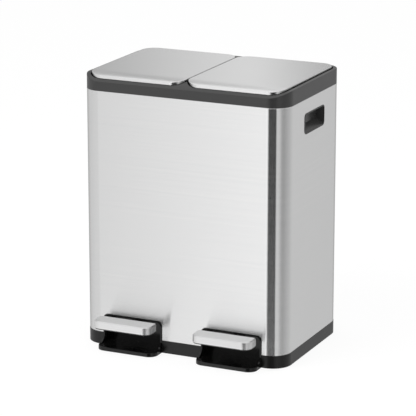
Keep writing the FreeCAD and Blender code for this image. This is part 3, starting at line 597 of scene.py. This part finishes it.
def rounded_outline(low: Sequence[float], high: Sequence[float], radius: float) -> list[Vector]:
    """Points round a rectangle with rounded corners, level, at height 0.

    Args:
        low: Its lowest x and y.
        high: Its highest x and y.
        radius: Its corners' radius.

    Returns:
        The points, anticlockwise.
    """
    points = []
    centres = ((high[0] - radius, high[1] - radius), (low[0] + radius, high[1] - radius),
               (low[0] + radius, low[1] + radius), (high[0] - radius, low[1] + radius))
    for quarter, (x, y) in enumerate(centres):
        for step in range(CORNER_STEPS + 1):
            angle = math.pi / 2 * (quarter + step / CORNER_STEPS)
            points.append(Vector((x + radius * math.cos(angle), y + radius * math.sin(angle), 0)))
    return points


# ---- sub-assemblies -------------------------------------------------------------------------
@dataclass
class Body:
    """Steel shell with its seam strip and the folded edge under the collar."""

    corner_radius: float = 46 * MM
    fold_height: float = 1.6 * MM
    fold_proud: float = 0.35 * MM
    fold_steps: int = 6

    def build(self, paint: Paintbox) -> None:
        """Dresses the shell and models the fold along its upper edge.

        Args:
            paint: The finishes.
        """
        paint.dress_node("steel_shell", "body_steel")
        paint.dress_node("rear_seam_strip", "plated_steel")
        fold = mesh_piece("steel_top_fold", self._fold)
        paint.dress_piece(fold, "body_steel", "body")

    def _fold(self, shape: bmesh.types.BMesh) -> None:
        """A low half-round bead along the steel's upper edge.

        Args:
            shape: The bmesh that it goes into.
        """
        low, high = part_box("steel_shell")
        rings = []
        for step in range(self.fold_steps + 1):
            angle = math.pi * step / self.fold_steps
            out = self.fold_proud * math.sin(angle)
            up = high.z - self.fold_height / 2 * (1 - math.cos(angle))
            ring = rounded_outline((low.x - out, low.y - out), (high.x + out, high.y + out),
                                   self.corner_radius + out)
            rings.append([point + Vector((0, 0, up)) for point in ring])
        skin_rings(shape, rings)


@dataclass
class Collar:
    """Moulded collar that closes the steel."""

    def build(self, paint: Paintbox) -> None:
        """Dresses the collar.

        Args:
            paint: The finishes.
        """
        paint.dress_node("top_collar", "collar_plastic")


@dataclass
class Lid:
    """One lid: steel cover, moulded frame and rubber bumpers."""

    side: str

    def build(self, paint: Paintbox) -> None:
        """Dresses the lid's pieces.

        Args:
            paint: The finishes.
        """
        paint.dress_node(f"lid_skin_{self.side}", "lid_steel")
        paint.dress_node(f"lid_frame_{self.side}", "inner_plastic")
        paint.dress_node(f"lid_bumpers_{self.side}", "black_rubber")


@dataclass
class Opener:
    """What opens one lid: hinge, push rod, lever and pedal."""

    side: str

    def build(self, paint: Paintbox) -> None:
        """Dresses the opener's pieces.

        Args:
            paint: The finishes.
        """
        for piece in ("hinge_bracket", "hinge_pin", "push_rod", "pedal_lever", "pedal_axle",
                      "pad_screws"):
            paint.dress_node(f"{piece}_{self.side}", "plated_steel")
        for piece in ("rod_cap", "rod_bush"):
            paint.dress_node(f"{piece}_{self.side}", "guide_plastic")
        paint.dress_node(f"pedal_cap_{self.side}", "tread_steel")
        paint.dress_node(f"pedal_pad_{self.side}", "inner_plastic")
        paint.dress_node(f"pedal_surround_{self.side}", "gloss_black")


@dataclass
class Inside:
    """One bucket and the grip on the same side."""

    side: str

    def build(self, paint: Paintbox) -> None:
        """Dresses the bucket and the grip.

        Args:
            paint: The finishes.
        """
        paint.dress_node(f"inner_bucket_{self.side}", "bucket_plastic")
        paint.dress_node(f"side_grip_{self.side}", "grip_black")


@dataclass
class Base:
    """Base tray, inner floor, feet and the fasteners."""

    def build(self, paint: Paintbox) -> None:
        """Dresses the base's pieces.

        Args:
            paint: The finishes.
        """
        paint.dress_node("base_tray", "base_plastic")
        paint.dress_node("inner_floor", "inner_plastic")
        paint.dress_node("rubber_feet", "black_rubber")
        for piece in ("base_screws", "hinge_screws", "axle_clips"):
            paint.dress_node(piece, "plated_steel")


# ---- studio ---------------------------------------------------------------------------------
@dataclass
class Studio:
    """White floor, a round wall that only reflections see, soft light and the camera."""

    wall_radius: float = 2.5
    wall_bottom: float = -1.6
    wall_top: float = 3.2
    wall_steps: int = 96
    camera_place: tuple[float, float, float] = (2.2449, -4.84195, 1.7847)
    camera_turn: float = math.radians(24.837)
    camera_tilt: float = math.radians(15.296)
    camera_lens: float = 203.47
    low_levels: tuple[tuple[float, float], ...] = (
        (-180, 0.72), (-150, 0.76), (-124, 0.78), (-106, 1.10), (-96.5, 1.20), (-95, 0.03),
        (-53, 0.03), (-51.5, 0.66), (-38, 0.66), (-24, 0.42), (-12, 0.36), (12, 0.48),
        (45, 0.62), (60, 0.67), (68, 0.62), (76, 0.48), (106, 0.38), (150, 0.50), (180, 0.72))
    high_levels: tuple[tuple[float, float], ...] = (
        (-180, 0.60), (-150, 0.62), (-124, 0.74), (-106, 1.06), (-96.5, 1.06), (-95, 0.03),
        (-53, 0.03), (-51.5, 0.66), (-38, 0.66), (-24, 0.42), (-12, 0.36), (12, 0.48),
        (45, 0.62), (62, 0.67), (80, 0.60), (100, 0.44), (105, 0.47), (111, 0.80), (117, 0.66),
        (124, 0.45), (150, 0.50), (180, 0.60))
    level_change: tuple[float, float] = (0.6, 0.9)
    world_level: float = 0.7
    floor_size: float = 20.0
    floor_grey: float = 0.92
    floor_glow: float = 1.04
    glow_share: float = 0.86
    lamps: tuple[tuple[str, tuple[float, float, float], float], ...] = (
        ("key_light", (-1.6, -2.4, 3.2), 60.0), ("fill_light", (2.6, -1.2, 2.6), 18.0))
    lamp_size: float = 2.4
    lamp_aim: tuple[float, float, float] = (0.0, 0.0, 0.3)

    def build(self) -> None:
        """Makes the studio."""
        self._camera()
        self._world()
        self._floor()
        self._wall()
        for name, place, power in self.lamps:
            self._lamp(name, place, power)
        bpy.context.scene.view_settings.view_transform = "Standard"

    def _camera(self) -> None:
        """Sets the camera where the photograph was taken from."""
        data = bpy.data.cameras.new("photo_camera")
        data.lens = self.camera_lens
        camera = bpy.data.objects.new("photo_camera", data)
        camera.location = self.camera_place
        across = math.cos(self.camera_tilt)
        forward = Vector((-math.sin(self.camera_turn) * across,
                          math.cos(self.camera_turn) * across, -math.sin(self.camera_tilt)))
        camera.rotation_euler = forward.to_track_quat("-Z", "Y").to_euler()
        bpy.context.scene.collection.objects.link(camera)
        bpy.context.scene.camera = camera

    def _world(self) -> None:
        """White to the camera and to reflections, and an even light on everything else."""
        world = bpy.data.worlds.new("studio_world")
        world.use_nodes = True
        graph = Graph(world.node_tree)
        path = graph.node("ShaderNodeLightPath")
        seen = Value(graph, path.outputs["Is Camera Ray"])
        mirrored = Value(graph, path.outputs["Is Glossy Ray"])
        through = Value(graph, path.outputs["Is Transmission Ray"])
        shown = (seen + mirrored + through).ramp(0.0, 1.0)
        level = shown * (1 - self.world_level) + self.world_level
        background = graph.node("ShaderNodeBackground", {}, {"Color": (1, 1, 1, 1),
                                                             "Strength": level})
        graph.node("ShaderNodeOutputWorld", {}, {"Surface": background.outputs[0]})
        bpy.context.scene.world = world

    def _floor(self) -> None:
        """A plain white floor that keeps the bin's shadow."""
        def plane(shape: bmesh.types.BMesh) -> None:
            """One large square.

            Args:
                shape: The bmesh that it goes into.
            """
            bmesh.ops.create_grid(shape, x_segments=1, y_segments=1, size=self.floor_size)

        floor = mesh_piece("studio_floor", plane)
        material, graph = new_material("floor_white")
        path = graph.node("ShaderNodeLightPath")
        seen = Value(graph, path.outputs["Is Camera Ray"])
        grey = (self.floor_grey, self.floor_grey, self.floor_grey, 1)
        matt = graph.node("ShaderNodeBsdfDiffuse", {}, {"Color": grey})
        glow = graph.node("ShaderNodeEmission", {}, {"Color": (1, 1, 1, 1),
                                                     "Strength": self.floor_glow})
        mix = graph.node("ShaderNodeMixShader", {}, {0: seen * self.glow_share,
                                                     1: matt.outputs[0], 2: glow.outputs[0]})
        graph.surface(mix.outputs[0])
        floor.data.materials.append(material)
        floor.visible_glossy = False

    def _wall(self) -> None:
        """A round wall whose brightness changes with the direction, seen in reflections only."""
        def tube(shape: bmesh.types.BMesh) -> None:
            """An open upright tube.

            Args:
                shape: The bmesh that it goes into.
            """
            rings = []
            for height in (self.wall_bottom, self.wall_top):
                rings.append([Vector((self.wall_radius * math.cos(angle),
                                      self.wall_radius * math.sin(angle), height))
                              for angle in (2 * math.pi * step / self.wall_steps
                                            for step in range(self.wall_steps))])
            skin_rings(shape, rings)

        wall = mesh_piece("studio_wall", tube)
        material, graph = new_material("wall_light")
        parts = graph.node("ShaderNodeSeparateXYZ", {}, {0: graph.position()})
        east, north = Value(graph, parts.outputs["X"]), Value(graph, parts.outputs["Y"])
        turn = north.math("ARCTAN2", east) / (2 * math.pi) + 0.5
        colours = []
        for levels in (self.low_levels, self.high_levels):
            stops = [(azimuth / 360 + 0.5, level) for azimuth, level in levels]
            ramp = graph.node("ShaderNodeValToRGB", {"stops": stops}, {"Fac": turn})
            colours.append(ramp.outputs["Color"])
        high = Value(graph, parts.outputs["Z"]).ramp(*self.level_change)
        mix = graph.node("ShaderNodeMix", {"data_type": "RGBA"},
                         {"Factor": high, "A": colours[0], "B": colours[1]})
        light = graph.node("ShaderNodeEmission", {}, {"Color": mix.outputs["Result"]})
        graph.surface(light.outputs[0])
        wall.data.materials.append(material)
        wall.visible_camera = False
        wall.visible_diffuse = False
        wall.visible_shadow = False

    def _lamp(self, name: str, place: tuple[float, float, float], power: float) -> None:
        """Adds a soft lamp aimed at the bin.

        Args:
            name: Its name.
            place: Where it stands.
            power: Its power, in watts.
        """
        data = bpy.data.lights.new(name, "AREA")
        data.size = self.lamp_size
        data.energy = power
        lamp = bpy.data.objects.new(name, data)
        lamp.location = place
        aim = Vector(self.lamp_aim) - Vector(place)
        lamp.rotation_euler = aim.to_track_quat("-Z", "Y").to_euler()
        lamp.visible_glossy = False
        bpy.context.scene.collection.objects.link(lamp)


def main() -> None:
    """Builds every sub-assembly in order, then the studio."""
    paint = Paintbox()
    assemblies = [Body(), Collar(), Base()]
    for side in SIDES:
        assemblies += [Lid(side), Opener(side), Inside(side)]
    for assembly in assemblies:
        assembly.build(paint)
    Studio().build()


if __name__ == "__main__":
    main()
